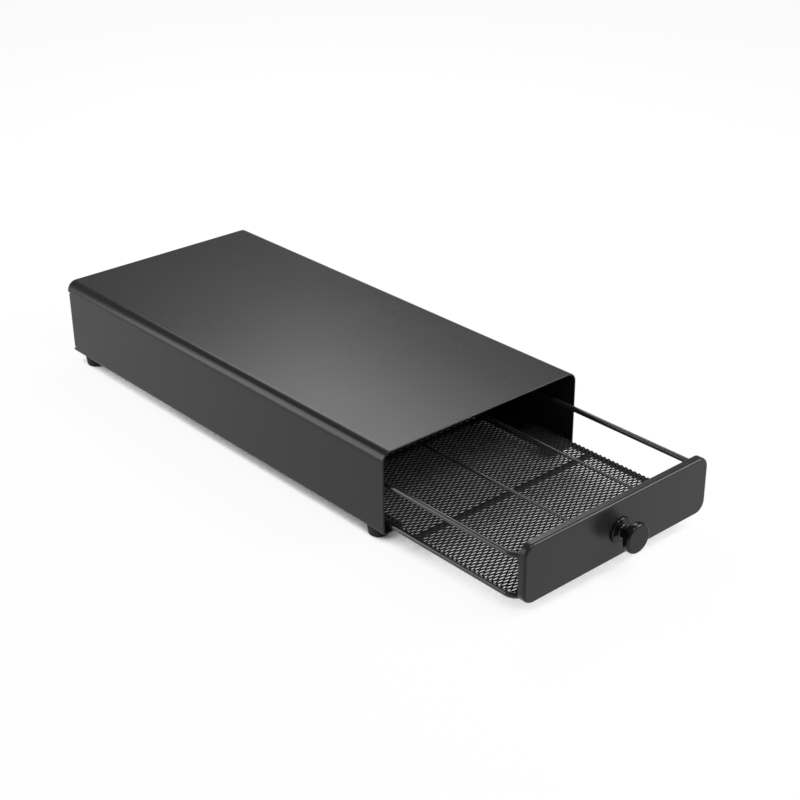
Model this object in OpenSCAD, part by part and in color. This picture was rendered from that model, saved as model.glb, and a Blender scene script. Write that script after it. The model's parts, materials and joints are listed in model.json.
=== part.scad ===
// Pull-out drawer for coffee pods: a folded steel casing on four rubber feet,
// with a welded wire drawer that slides out of its front on two plastic runners.
// Millimetres. X runs across, +Y to the back, +Z up. The part stands on Z = 0,
// with X = 0 on its plane of symmetry and Y = 0 half-way along its whole length.

/* [Casing] */
// Outer width of the casing
casing_w = 170; // [150:1:200]
// Depth of the casing from its front edge to its rear tabs
casing_d = 365; // [300:1:420]
// Height of the casing without its feet
casing_h = 57.5; // [54:0.5:66]
// Thickness of the casing sheet
sheet_t = 1.2; // [0.9:0.1:1.4]
// Outer radius of the two bends along the top
top_bend_r = 7.5; // [5:0.5:10]
// Outer radius of the bends at the bottom and at the back
edge_bend_r = 2; // [1.8:0.1:2.4]
// Width of each flange under the casing
flange_w = 18; // [16:0.5:24]
// Chamfer at the front inner corner of each flange
flange_chamfer = 3; // [1:0.5:5]
// Width of each tab bent in at the back
rear_tab_w = 14; // [12:0.5:18]
// Height left free above and below a rear tab so that it can be bent
bend_relief = 2; // [1:0.5:4]

/* [Back panel] */
// Thickness of the back panel
back_t = 1.2; // [0.8:0.1:1.6]
// Gap between the back panel and the casing round it
back_gap = 0.4; // [0.2:0.1:0.8]
// Depth of the stiffening return along the foot of the back panel
back_return = 10; // [6:0.5:12]
// Thread diameter of the back panel screws
back_screw_d = 3; // [2.5:0.5:3.5]
// Head diameter of the back panel screws
back_screw_head_d = 5.6; // [5:0.1:7]
// Head height of the back panel screws
back_screw_head_h = 1.8; // [1.2:0.1:2.4]
// Length of the back panel screws under the head
back_screw_l = 6; // [4:0.5:8]
// Height of the lower pair of screws above the casing's underside
back_screw_low = 15; // [12:0.5:18]
// Height between the lower and the upper pair of screws
back_screw_rise = 24; // [16:0.5:26]

/* [Feet] */
// Height of a foot below the casing
foot_h = 7; // [5:0.5:12]
// Diameter of a foot against the casing
foot_top_d = 15; // [12:0.1:15.8]
// Diameter of a foot just above its rounded edge
foot_base_d = 13.6; // [10:0.1:15]
// Radius of the edge round the sole of a foot
foot_edge_r = 1.3; // [0.5:0.1:2]
// Distance of a foot's axis from the outside of the casing
foot_side_inset = 8; // [8:0.1:9]
// Distance of a front foot's axis from the front edge
foot_front_inset = 14; // [10:0.5:30]
// Distance of a rear foot's axis from the back
foot_rear_inset = 18; // [16:0.5:34]
// Diameter of the neck that holds a foot in its flange
foot_neck_d = 4; // [3:0.1:4.4]
// Diameter of the head above the neck
foot_head_d = 6; // [5:0.1:6.6]
// Height of the head above the neck
foot_head_h = 0.9; // [0.5:0.1:1.1]

/* [Runners] */
// Thickness of a runner under the drawer's lower frame
runner_t = 2.2; // [1.8:0.1:3]
// Width of a runner across the flange
runner_w = 11; // [10:0.5:13]
// Height of a runner's outer lip above the flange
runner_lip_h = 5; // [4:0.1:6]
// Distance from the front edge to a runner
runner_front = 8; // [6:0.5:12]
// Distance from the back panel's return to a runner
runner_rear = 1; // [0.5:0.5:4]
// Length of the ramp at each end of a runner
runner_ramp = 5; // [3:0.5:8]
// Diameter of the pins that hold a runner in its flange
runner_pin_d = 3; // [2:0.1:3.4]
// Diameter of the snap heads on those pins
runner_snap_d = 4.2; // [3.6:0.1:5]
// Diameter of the tips of the snap heads
runner_tip_d = 2; // [1.2:0.1:3]
// Height of the snap heads
runner_snap_h = 1.4; // [1:0.1:2]
// Distance of the first and last pin from the runner's ends
runner_pin_inset = 42; // [30:1:60]
// Number of pins on a runner
runner_pins = 3; // [2:1:5]

/* [Stops and buffers] */
// Distance from the front edge to the back face of a stop
stop_back = 39; // [30:1:80]
// Width of a stop
stop_w = 20; // [12:1:30]
// Length of a stop's leg that is welded to the casing
stop_leg = 14; // [10:0.5:20]
// Drop of a stop below the casing's top sheet
stop_drop = 5.5; // [5:0.1:7]
// Distance of each stop's centre inwards from the rear loop's upright
stop_inset = 26; // [17:1:36]
// Diameter of a rear buffer
buffer_d = 10; // [8:0.5:14]
// Height of a rear buffer
buffer_h = 4; // [3:0.5:6]
// Radius round the face of a rear buffer
buffer_edge_r = 1.2; // [0.5:0.1:1.5]
// Height of the buffers above the casing's underside
buffer_z = 18; // [12:0.5:24]

/* [Front panel] */
// Distance that the drawer stands open
drawer_open = 116; // [0:1:200]
// Gap between the panel and the inside of the casing, each side
panel_side_gap = 3.4; // [1:0.1:6]
// Height of the panel
panel_h = 39.6; // [36:0.1:42]
// Gap between the flanges and the foot of the panel
panel_lift = 2.2; // [1:0.1:2.6]
// Depth of the panel with its returned edges
panel_d = 5.5; // [4.5:0.1:8]
// Thickness of the panel sheet
panel_t = 1; // [0.7:0.1:1.3]
// Radius of the panel's four corners, seen from the front
panel_corner_r = 5; // [3:0.5:8]
// Radius round the edge of the panel's face
panel_edge_r = 1.7; // [1.4:0.1:2.5]
// Width of a bracket's raised middle
bracket_w = 14; // [10:0.5:20]
// Width of each of a bracket's feet
bracket_foot_w = 8; // [5:0.5:12]
// Thickness of the bracket sheet
bracket_t = 1.2; // [0.8:0.1:1.5]
// Outer radius of a bracket's bends
bracket_bend_r = 1.7; // [1.5:0.1:2]
// Distance of each bracket's centre from the side of the panel
bracket_inset = 28.4; // [21:0.1:45]
// Height of a bracket above the upper frame's centre line
bracket_over = 3; // [1.5:0.5:5]

/* [Knob] */
// Drop of the knob's axis below the middle of the panel
knob_drop = 0.8; // [0:0.1:3]
// Diameter of the knob's cap
cap_d = 19.6; // [16:0.1:26]
// Thickness of the cap
cap_t = 5.4; // [4:0.1:8]
// Radius round the front of the cap
cap_front_r = 1.5; // [0.5:0.1:1.9]
// Radius round the back of the cap
cap_back_r = 2; // [0.5:0.1:2]
// Diameter of the knob's neck
neck_d = 7.6; // [7:0.1:10]
// Length of the neck between rose and cap
neck_l = 7.3; // [5:0.1:12]
// Radius of the hollow fillets at the two ends of the neck
neck_fillet_r = 1.6; // [0.5:0.1:2.2]
// Diameter of the rose behind the knob
rose_d = 17.2; // [14:0.1:22]
// Thickness of the rose
rose_t = 2; // [1.3:0.1:3]
// Radius round the edge of the rose
rose_edge_r = 1.1; // [0.4:0.1:1.2]
// Thread diameter of the knob screw
knob_screw_d = 4; // [3:0.5:4]
// Head diameter of the knob screw
knob_screw_head_d = 7; // [6:0.1:8]
// Head height of the knob screw
knob_screw_head_h = 2.4; // [1.6:0.1:2.4]
// Length of the knob screw under its head
knob_screw_l = 11; // [8:0.5:12]
// Depth of the threaded hole in the knob
knob_bore_l = 9; // [8.5:0.5:10]
// Outer diameter of the washer under the screw head
washer_d = 9; // [8.4:0.1:11]
// Thickness of the washer
washer_t = 0.8; // [0.5:0.1:1]

/* [Drawer frame] */
// Diameter of the frame wires
wire_d = 3.7; // [3:0.1:4]
// Distance from the outside of the casing to the frame, each side
frame_inset = 4; // [3.9:0.1:6]
// Radius of the frames' corners, along the wire's centre line
frame_corner_r = 8; // [5:0.5:14]
// Height between the lower and the upper frame
frame_rise = 27.4; // [22:0.1:28.4]
// Distance of the rear loop's uprights inwards from the frames' side wires
loop_inset = 17; // [15:0.5:28]
// Radius of the rear loop's corners, along the wire's centre line
loop_corner_r = 6; // [4:0.5:10]
// Gap between the rear loop and the casing's top sheet
loop_gap = 0.6; // [0.3:0.1:0.9]
// Diameter of the two divider wires
divider_d = 2; // [1.6:0.1:3]
// Width of an outer row of pods, from the frame's side wire to the divider wire
outer_row_w = 50.9; // [49:0.1:56]
// Number of wires across, under the mesh
floor_wires_n = 3; // [2:1:6]

/* [Mesh floor] */
// Thickness of the mesh
mesh_t = 0.8; // [0.5:0.1:1.2]
// Long way of a diamond, across the drawer
mesh_long = 18.6; // [14:0.1:30]
// Short way of a diamond, along the drawer
mesh_short = 11.25; // [8:0.05:20]
// Width of a strand
mesh_strand = 2.6; // [1.5:0.1:4]
// Width of the solid edge round the mesh
mesh_edge = 1.4; // [1:0.1:3]

/* [Clearances] */
// Running gap between the lower frame and a runner
slide_gap = 0.3; // [0.2:0.05:0.5]
// Play between the lower frame and a runner's lip
side_play = 0.4; // [0.3:0.05:0.6]
// Gap left where the drawer meets a stop or a buffer
stop_gap = 0.3; // [0.2:0.05:0.5]
// Gap at a welded joint
weld_gap = 0.05; // [0.02:0.01:0.1]
// Gap round a piece that sits in a hole or beside another
fit_gap = 0.1; // [0.05:0.05:0.15]

/* [Hidden] */

$fn = 48;
eps = 0.5; // overrun of a cutting tool past the face that it cuts

coat = [0.15, 0.15, 0.16];
rubber = [0.09, 0.09, 0.09];
nylon = [0.2, 0.2, 0.2];
gloss = [0.06, 0.06, 0.07];
zinc = [0.62, 0.62, 0.64];

// Casing: heights are measured from its underside, depths from its front edge.
half_w = casing_w / 2;
inner_half_w = half_w - sheet_t;
inner_top = casing_h - sheet_t;
back_face = casing_d - sheet_t - back_t; // inner face of the back panel
tab_z = [edge_bend_r + bend_relief, casing_h - top_bend_r - bend_relief];
tab_screw_x = half_w - (rear_tab_w + edge_bend_r) / 2;
foot_x = half_w - foot_side_inset;
foot_ys = [foot_front_inset, casing_d - foot_rear_inset];

// Runners: their outer face clears the inside of the lower bend.
runner_out = half_w - edge_bend_r - fit_gap;
lip_in = half_w - frame_inset + side_play;
runner_l = back_face - back_return - runner_rear - runner_front;
runner_top = sheet_t + runner_t;
pin_x = runner_out - runner_w + (runner_w - (runner_out - lip_in)) / 2;
pin_pitch = (runner_l - 2 * runner_pin_inset) / (runner_pins - 1);
pin_ys = [for (i = [0 : runner_pins - 1]) runner_front + runner_pin_inset + i * pin_pitch];

// Drawer: depths are measured from the face of its closed panel.
wire_r = wire_d / 2;
frame_half_w = half_w - frame_inset - wire_r;
lower_z = runner_top + slide_gap + wire_r;
upper_z = lower_z + frame_rise;
panel_w = 2 * (inner_half_w - panel_side_gap);
panel_z = sheet_t + panel_lift;
knob_z = panel_z + panel_h / 2 - knob_drop;
knob_reach = rose_t + neck_l + cap_t;
bracket_back = panel_d + fit_gap;
bracket_x = panel_w / 2 - bracket_inset;
frame_front = bracket_back + weld_gap + wire_r;
loop_x = frame_half_w - loop_inset;
loop_y = back_face - buffer_h - stop_gap - wire_r;
frame_rear = loop_y - wire_d - weld_gap;
loop_top = inner_top - loop_gap - wire_r;
stop_x = loop_x - stop_inset;
divider_x = frame_half_w - outer_row_w;
mesh_z = lower_z + wire_r + weld_gap;
floor_pitch = (frame_rear - frame_front) / (floor_wires_n + 1);

// Whole part: its middle along Y, with the drawer open.
part_front = -drawer_open - knob_reach;
part_rear = casing_d + back_screw_head_h;
part_mid = (part_front + part_rear) / 2;

// ---- Places ----

module on_casing() translate([0, -part_mid, foot_h]) children();

module on_drawer() on_casing() translate([0, -drawer_open, 0]) children();

// Turns local +Z to the front, at the knob's axis
module at_knob() translate([0, 0, knob_z]) rotate([90, 0, 0]) children();

module both_sides() {
    children();
    mirror([1, 0, 0]) children();
}

// ---- Shapes ----

// Extrudes a profile drawn in X and Z along +Y
module along_y(length) translate([0, length, 0]) rotate([90, 0, 0]) linear_extrude(length) children();

// Extrudes a profile drawn in Y and Z along X, centred
module along_x(length) rotate([90, 0, 90]) linear_extrude(length, center = true) children();

// Rectangle on the X axis with one radius at its upper and one at its lower corners
module rounded_outline(w, h, upper_r, lower_r) {
    translate([-w / 2 + upper_r, lower_r]) square([w - 2 * upper_r, h - lower_r]);
    translate([-w / 2, lower_r]) square([w, h - upper_r - lower_r]);
    translate([-w / 2 + lower_r, 0]) square([w - 2 * lower_r, h - upper_r]);
    for (s = [-1, 1]) {
        translate([s * (w / 2 - upper_r), h - upper_r]) circle(upper_r);
        translate([s * (w / 2 - lower_r), lower_r]) circle(lower_r);
    }
}

// Bent sheet with its outer corner at the origin and legs along +X and +Y
module angle_profile(leg_x, leg_y, t, r) {
    translate([r, 0]) square([leg_x - r, t]);
    if (leg_y > r) translate([0, r]) square([t, leg_y - r]);
    intersection() {
        translate([r, r]) difference() {
            circle(r);
            circle(r - t);
        }
        square(r);
    }
}

// Half section of a disc on the Y axis with a rounded upper outer edge
module disc_section(r, h, edge_r) {
    square([r - edge_r, h]);
    square([r, h - edge_r]);
    translate([r - edge_r, h - edge_r]) intersection() {
        circle(edge_r);
        square(edge_r);
    }
}

// Straight wire along X, Y or Z, given by its lower end and its length
module wire_x(p, length, d) translate(p) rotate([0, 90, 0]) cylinder(d = d, h = length);
module wire_y(p, length, d) translate(p) rotate([-90, 0, 0]) cylinder(d = d, h = length);
module wire_z(p, length, d) translate(p) cylinder(d = d, h = length);

// Quarter bend of a wire about +Z, from +X to +Y
module wire_bend(r, d) rotate_extrude(angle = 90) translate([r, 0]) circle(d = d);

// Closed frame of wire with rounded corners, lying flat at height z
module wire_frame(z) {
    r = frame_corner_r;
    side_l = frame_rear - frame_front - 2 * r;
    cross_l = 2 * (frame_half_w - r);
    both_sides() {
        wire_y([frame_half_w, frame_front + r, z], side_l, wire_d);
        translate([frame_half_w - r, frame_rear - r, z]) wire_bend(r, wire_d);
        translate([frame_half_w - r, frame_front + r, z]) rotate(-90) wire_bend(r, wire_d);
    }
    wire_x([-cross_l / 2, frame_front, z], cross_l, wire_d);
    wire_x([-cross_l / 2, frame_rear, z], cross_l, wire_d);
}

// Pan-head screw that points to -Z, with its head's seat at the origin
module pan_screw(d, head_d, head_h, length) {
    slot_w = head_d / 6;
    difference() {
        union() {
            rotate_extrude() disc_section(head_d / 2, head_h, head_h / 2);
            translate([0, 0, -length]) cylinder(d = d, h = length + eps);
        }
        for (a = [0, 90]) {
            rotate(a) translate([0, 0, head_h]) cube([head_d * 0.55, slot_w, head_h], center = true);
        }
    }
}

// Block with rounded corners and a rounded front edge, its face on Y = 0
module soft_block(w, h, d, corner_r, edge_r) {
    inset = corner_r - edge_r;
    for (x = [-1, 1], z = [0, 1]) {
        translate([x * (w / 2 - corner_r), d, corner_r + z * (h - 2 * corner_r)]) rotate([90, 0, 0])
            rotate_extrude() disc_section(corner_r, d, edge_r);
    }
    translate([0, 0, corner_r]) linear_extrude(h - 2 * corner_r) face_section(w, d, edge_r);
    translate([0, 0, h / 2]) rotate([0, 90, 0]) linear_extrude(w - 2 * corner_r, center = true)
        face_section(h, d, edge_r);
}

// Section through the block: its front corners, at Y = 0, are rounded
module face_section(w, d, edge_r) {
    translate([-w / 2 + edge_r, 0]) square([w - 2 * edge_r, d]);
    translate([-w / 2, edge_r]) square([w, d - edge_r]);
    for (s = [-1, 1]) translate([s * (w / 2 - edge_r), edge_r]) circle(edge_r);
}

// ---- Casing ----

// One sheet: top, sides, bottom flanges and rear tabs
module casing_shell() {
    color(coat) on_casing() difference() {
        union() {
            difference() {
                along_y(casing_d) casing_profile();
                both_sides() rear_notch();
            }
            both_sides() rear_tab();
        }
        both_sides() {
            flange_corner_cut();
            for (y = foot_ys) translate([foot_x, y, -eps])
                cylinder(d = foot_neck_d + 2 * fit_gap, h = sheet_t + 2 * eps);
            for (y = pin_ys) translate([pin_x, y, -eps])
                cylinder(d = runner_pin_d + 2 * fit_gap, h = sheet_t + 2 * eps);
            tab_screw_holes(sheet_t, casing_d - sheet_t);
        }
    }
}

module casing_profile() {
    difference() {
        rounded_outline(casing_w, casing_h, top_bend_r, edge_bend_r);
        translate([0, sheet_t]) rounded_outline(casing_w - 2 * sheet_t, casing_h - 2 * sheet_t,
                                                top_bend_r - sheet_t, edge_bend_r - sheet_t);
        translate([-half_w + flange_w, -eps]) square([casing_w - 2 * flange_w, sheet_t + 2 * eps]);
    }
}

// Where the side ends short, so that its tab can be bent
module rear_notch() {
    slit = bend_relief / 2;
    translate([inner_half_w - eps, casing_d - edge_bend_r, tab_z[0] - slit])
        cube([sheet_t + 2 * eps, edge_bend_r + eps, tab_z[1] - tab_z[0] + 2 * slit]);
}

module rear_tab() {
    translate([half_w, casing_d, tab_z[0]]) mirror([1, 0, 0]) mirror([0, 1, 0])
        linear_extrude(tab_z[1] - tab_z[0])
            angle_profile(rear_tab_w, edge_bend_r, sheet_t, edge_bend_r);
}

module flange_corner_cut() {
    translate([half_w - flange_w, 0, sheet_t / 2]) rotate(45)
        cube([flange_chamfer * sqrt(2), flange_chamfer * sqrt(2), sheet_t + 2 * eps], center = true);
}

module tab_screw_holes(depth, y) {
    for (z = [0, back_screw_rise]) {
        wire_y([tab_screw_x, y - eps, back_screw_low + z], depth + 2 * eps,
               back_screw_d + 2 * fit_gap);
    }
}

// Flat panel inside the rear tabs, with a stiffening return along its foot
module back_panel() {
    z0 = sheet_t + back_gap;
    panel_top = inner_top - back_gap;
    w = 2 * (inner_half_w - back_gap);
    color(coat) on_casing() difference() {
        union() {
            translate([0, back_face, z0 + edge_bend_r]) along_y(back_t)
                rounded_outline(w, panel_top - z0 - edge_bend_r,
                                top_bend_r - sheet_t - back_gap, fit_gap);
            translate([0, back_face + back_t, z0]) mirror([0, 1, 0])
                along_x(w - 2 * edge_bend_r)
                    angle_profile(back_return + back_t, 2 * edge_bend_r, back_t, edge_bend_r);
        }
        both_sides() tab_screw_holes(back_t, back_face);
    }
}

module back_screws() {
    color(zinc) on_casing() both_sides() for (z = [0, back_screw_rise]) {
        translate([tab_screw_x, casing_d, back_screw_low + z]) rotate([-90, 0, 0])
            pan_screw(back_screw_d, back_screw_head_d, back_screw_head_h, back_screw_l);
    }
}

// Rubber foot: tapered body below the flange, neck through it and head above it
module foot(side, y) {
    top_r = foot_top_d / 2;
    base_r = foot_base_d / 2;
    head_z = foot_h + sheet_t;
    color(rubber) translate([side * foot_x, y - part_mid, 0]) {
        rotate_extrude() difference() {
            union() {
                square([base_r - foot_edge_r, foot_edge_r]);
                translate([base_r - foot_edge_r, foot_edge_r]) circle(foot_edge_r);
                polygon([[0, foot_edge_r], [base_r, foot_edge_r], [top_r, foot_h], [0, foot_h]]);
            }
            translate([-foot_edge_r, -eps]) square([foot_edge_r, foot_h + 2 * eps]);
        }
        translate([0, 0, foot_h - eps]) cylinder(d = foot_neck_d, h = sheet_t + 2 * eps);
        translate([0, 0, head_z]) cylinder(d = foot_head_d, h = foot_head_h);
    }
}

module foot_front_left() foot(-1, foot_ys[0]);
module foot_front_right() foot(1, foot_ys[0]);
module foot_rear_left() foot(-1, foot_ys[1]);
module foot_rear_right() foot(1, foot_ys[1]);

// Plastic strip on the flange, with an outer lip that guides the lower frame
module runner() {
    color(nylon) on_casing() difference() {
        union() {
            translate([0, runner_front, sheet_t]) along_y(runner_l) runner_section();
            for (y = pin_ys) translate([pin_x, y, 0]) runner_pin();
        }
        for (y = foot_ys) translate([foot_x, y, sheet_t - eps])
            cylinder(d = foot_head_d + 4 * fit_gap, h = eps + foot_head_h + fit_gap);
        runner_ramp_cut(runner_front, 1);
        runner_ramp_cut(runner_front + runner_l, -1);
    }
}

module runner_section() {
    translate([runner_out - runner_w, 0]) square([runner_w, runner_t]);
    translate([lip_in, 0]) square([runner_out - lip_in, runner_lip_h]);
}

// Slopes the strip down to half its thickness towards an end at y
module runner_ramp_cut(y, inward) {
    translate([runner_out - runner_w - eps, y, sheet_t]) mirror([0, (1 - inward) / 2, 0])
        rotate([90, 0, 90]) linear_extrude(runner_w + 2 * eps)
            polygon([[-eps, runner_t / 2], [0, runner_t / 2], [runner_ramp, runner_lip_h + eps],
                     [-eps, runner_lip_h + eps]]);
}

module runner_pin() {
    translate([0, 0, -fit_gap]) cylinder(d = runner_pin_d, h = sheet_t + fit_gap + eps);
    translate([0, 0, -fit_gap - runner_snap_h])
        cylinder(d1 = runner_tip_d, d2 = runner_snap_d, h = runner_snap_h);
}

module runner_left() mirror([1, 0, 0]) runner();
module runner_right() runner();

// Angle under the top sheet that catches the rear loop of an open drawer
module stop(side) {
    color(coat) on_casing() translate([side * stop_x, stop_back, inner_top])
        mirror([0, 1, 0]) mirror([0, 0, 1]) along_x(stop_w)
            angle_profile(stop_leg, stop_drop, sheet_t, edge_bend_r);
}

module stop_left() stop(-1);
module stop_right() stop(1);

// Rubber buffer on the back panel, behind an upright of the rear loop
module buffer(side) {
    color(rubber) on_casing() translate([side * loop_x, back_face, buffer_z])
        rotate([90, 0, 0]) rotate_extrude() disc_section(buffer_d / 2, buffer_h, buffer_edge_r);
}

module buffer_left() buffer(-1);
module buffer_right() buffer(1);

// ---- Drawer front ----

// Pressed pan: flat face, rounded edge and a return all round
module front_panel() {
    color(coat) on_drawer() difference() {
        translate([0, 0, panel_z])
            soft_block(panel_w, panel_h, panel_d, panel_corner_r, panel_edge_r);
        translate([0, panel_t, panel_z + panel_t])
            soft_block(panel_w - 2 * panel_t, panel_h - 2 * panel_t, panel_d,
                       panel_corner_r - panel_t, panel_edge_r - panel_t);
        at_knob() translate([0, 0, -panel_t - eps])
            cylinder(d = knob_screw_d + 2 * fit_gap, h = panel_t + 2 * eps);
    }
}

// Hat-shaped strap that carries the two frames behind the panel
module bracket(side) {
    z0 = panel_z + panel_t + 2 * fit_gap;
    deep = bracket_back - panel_t;
    half = bracket_w / 2;
    color(coat) on_drawer() translate([side * bracket_x, panel_t, z0])
        linear_extrude(upper_z + bracket_over - z0) both_sides() {
            translate([half, deep]) mirror([1, 0]) mirror([0, 1])
                angle_profile(half, deep / 2, bracket_t, bracket_bend_r);
            translate([half - bracket_t, 0]) bracket_foot(deep / 2);
        }
}

// Lower half of a bracket's web, with the foot that lies on the panel
module bracket_foot(rise) {
    angle_profile(bracket_foot_w + bracket_t, rise, bracket_t, bracket_bend_r);
}

module bracket_left() bracket(-1);
module bracket_right() bracket(1);

// ---- Knob ----

// Turned knob: filleted neck, rounded cap and a blind threaded hole
module knob() {
    neck_r = neck_d / 2;
    color(gloss) on_drawer() at_knob() translate([0, 0, rose_t]) difference() {
        rotate_extrude() {
            square([neck_r, neck_l + eps]);
            neck_fillet(neck_r);
            translate([0, neck_l]) mirror([0, 1]) neck_fillet(neck_r);
            translate([0, neck_l]) cap_section();
        }
        translate([0, 0, -eps]) cylinder(d = knob_screw_d + fit_gap, h = knob_bore_l + eps);
    }
}

module neck_fillet(neck_r) {
    difference() {
        square([neck_r + neck_fillet_r, neck_fillet_r]);
        translate([neck_r + neck_fillet_r, neck_fillet_r]) circle(neck_fillet_r);
    }
}

module cap_section() {
    r = cap_d / 2;
    square([r - cap_back_r, cap_t - cap_front_r]);
    translate([0, cap_back_r]) square([r - cap_front_r, cap_t - cap_back_r]);
    translate([0, cap_back_r]) square([r, cap_t - cap_back_r - cap_front_r]);
    translate([r - cap_back_r, cap_back_r]) circle(cap_back_r);
    translate([r - cap_front_r, cap_t - cap_front_r]) circle(cap_front_r);
}

module knob_rose() {
    color(gloss) on_drawer() at_knob() difference() {
        rotate_extrude() disc_section(rose_d / 2, rose_t, rose_edge_r);
        translate([0, 0, -eps]) cylinder(d = knob_screw_d + 2 * fit_gap, h = rose_t + 2 * eps);
    }
}

module knob_screw() {
    color(zinc) on_drawer() translate([0, panel_t + washer_t, knob_z]) rotate([-90, 0, 0])
        pan_screw(knob_screw_d, knob_screw_head_d, knob_screw_head_h, knob_screw_l);
}

module knob_washer() {
    color(zinc) on_drawer() at_knob() translate([0, 0, -panel_t - washer_t]) difference() {
        cylinder(d = washer_d, h = washer_t);
        translate([0, 0, -eps]) cylinder(d = knob_screw_d + 2 * fit_gap, h = washer_t + 2 * eps);
    }
}

// ---- Drawer frame ----

module lower_frame() {
    color(coat) on_drawer() wire_frame(lower_z);
}

module upper_frame() {
    color(coat) on_drawer() wire_frame(upper_z);
}

// Loop behind both frames that keeps the drawer level and meets the stops
module rear_loop() {
    r = loop_corner_r;
    x = loop_x;
    z0 = lower_z - wire_r;
    color(coat) on_drawer() {
        both_sides() {
            wire_z([x, loop_y, z0], loop_top - r - z0, wire_d);
            translate([x - r, loop_y, loop_top - r]) rotate([90, 0, 0]) wire_bend(r, wire_d);
        }
        wire_x([-x + r, loop_y, loop_top], 2 * (x - r), wire_d);
    }
}

module floor_wires() {
    length = 2 * (frame_half_w - wire_r - weld_gap);
    color(coat) on_drawer() for (i = [1 : floor_wires_n]) {
        wire_x([-length / 2, frame_front + i * floor_pitch, lower_z], length, wire_d);
    }
}

// Sheet of diamond mesh on top of the lower frame
module mesh_floor() {
    w = 2 * frame_half_w;
    l = frame_rear - frame_front;
    cell_r = mesh_long * mesh_short / 2 / norm([mesh_long, mesh_short]);
    open = 1 - mesh_strand / 2 / cell_r;
    rim = [w, l] / 2 - mesh_edge * [1, 1] - open * [mesh_long, mesh_short] / 2;
    columns = ceil(w / mesh_long);
    rows = ceil(l / mesh_short);
    color(coat) on_drawer() translate([0, frame_front + l / 2, mesh_z]) linear_extrude(mesh_t)
        difference() {
            translate([0, -l / 2]) rounded_outline(w, l, frame_corner_r, frame_corner_r);
            for (i = [-columns : columns], j = [-rows : rows]) {
                x = i * mesh_long / 2;
                y = j * mesh_short / 2;
                if ((i + j) % 2 == 0 && abs(x) <= rim[0] && abs(y) <= rim[1]) {
                    translate([x, y]) diamond(open * mesh_long, open * mesh_short);
                }
            }
        }
}

module diamond(w, l) polygon([[w / 2, 0], [0, l / 2], [-w / 2, 0], [0, -l / 2]]);

module divider(side) {
    y0 = frame_front + wire_r + weld_gap;
    color(coat) on_drawer() wire_y([side * divider_x, y0, upper_z],
                                   frame_rear - wire_r - weld_gap - y0, divider_d);
}

module divider_left() divider(-1);
module divider_right() divider(1);

casing_shell();
back_panel();
back_screws();
foot_front_left();
foot_front_right();
foot_rear_left();
foot_rear_right();
runner_left();
runner_right();
stop_left();
stop_right();
buffer_left();
buffer_right();
front_panel();
bracket_left();
bracket_right();
knob();
knob_rose();
knob_screw();
knob_washer();
lower_frame();
upper_frame();
rear_loop();
floor_wires();
mesh_floor();
divider_left();
divider_right();
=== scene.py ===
"""Looks of a pull-out coffee pod drawer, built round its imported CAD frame."""

import json
import logging
import math
from collections.abc import Callable, Iterator
from contextlib import contextmanager
from dataclasses import dataclass
from enum import Enum

import bmesh
import bpy
from mathutils import Matrix, Vector

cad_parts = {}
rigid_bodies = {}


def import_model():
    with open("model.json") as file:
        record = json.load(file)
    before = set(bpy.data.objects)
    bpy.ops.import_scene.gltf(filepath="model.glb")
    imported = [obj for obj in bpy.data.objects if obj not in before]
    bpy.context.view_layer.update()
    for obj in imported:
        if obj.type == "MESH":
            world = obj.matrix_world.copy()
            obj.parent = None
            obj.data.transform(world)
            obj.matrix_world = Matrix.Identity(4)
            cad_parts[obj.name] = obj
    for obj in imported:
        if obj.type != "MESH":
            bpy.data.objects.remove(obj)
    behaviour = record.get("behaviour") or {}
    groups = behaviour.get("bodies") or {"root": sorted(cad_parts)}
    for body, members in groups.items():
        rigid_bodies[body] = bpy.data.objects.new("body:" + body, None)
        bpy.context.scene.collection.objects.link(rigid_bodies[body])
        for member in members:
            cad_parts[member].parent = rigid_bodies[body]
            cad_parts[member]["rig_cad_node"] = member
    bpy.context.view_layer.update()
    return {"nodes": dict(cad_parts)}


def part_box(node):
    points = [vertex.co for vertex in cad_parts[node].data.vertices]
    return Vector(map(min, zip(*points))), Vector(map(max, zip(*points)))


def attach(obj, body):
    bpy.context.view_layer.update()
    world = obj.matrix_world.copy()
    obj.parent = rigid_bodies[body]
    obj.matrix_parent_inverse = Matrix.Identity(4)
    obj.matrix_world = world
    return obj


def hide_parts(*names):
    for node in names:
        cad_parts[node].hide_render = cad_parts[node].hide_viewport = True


MM = 0.001
X, Y, Z = Vector((1, 0, 0)), Vector((0, 1, 0)), Vector((0, 0, 1))

# Points nearer than the first are merged, and places nearer than the second count as the same.
MERGE, SAME = 0.002 * MM, 0.01 * MM
# The least share of a direction along an axis that counts as parallel to it.
PARALLEL = 0.999
# The least angles in degrees that stay sharp: on most pieces, on turned ones and on wires.
SHARP, SHARP_TURNED, SHARP_WIRE = 40.0, 35.0, 50.0

log = logging.getLogger("pod_drawer")

Piece = bpy.types.Object
Rings = list[tuple[float, float]]
HalfLengths = tuple[float, float, float]


class Body(str, Enum):
    """The two rigid bodies of the frame."""

    CASING = "casing"
    DRAWER = "drawer"


class Slot(str, Enum):
    """The record's material slots."""

    COAT = "coat"
    WIRE = "wire_coat"
    MESH = "mesh_coat"
    LACQUER = "knob_lacquer"
    RUBBER = "foot_rubber"
    NYLON = "runner_plastic"
    ZINC = "screw_steel"


# ---- Colours and finishes ----


def linear(hex_code: str) -> tuple[float, float, float, float]:
    """Turns an sRGB colour to linear RGBA.

    Args:
        hex_code: Six hexadecimal digits after a hash sign.

    Returns:
        Red, green, blue and an alpha of one.
    """
    shares = [int(hex_code[i : i + 2], 16) / 255 for i in (1, 3, 5)]
    red, green, blue = (c / 12.92 if c <= 0.04045 else ((c + 0.055) / 1.055) ** 2.4 for c in shares)
    return red, green, blue, 1.0


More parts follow.
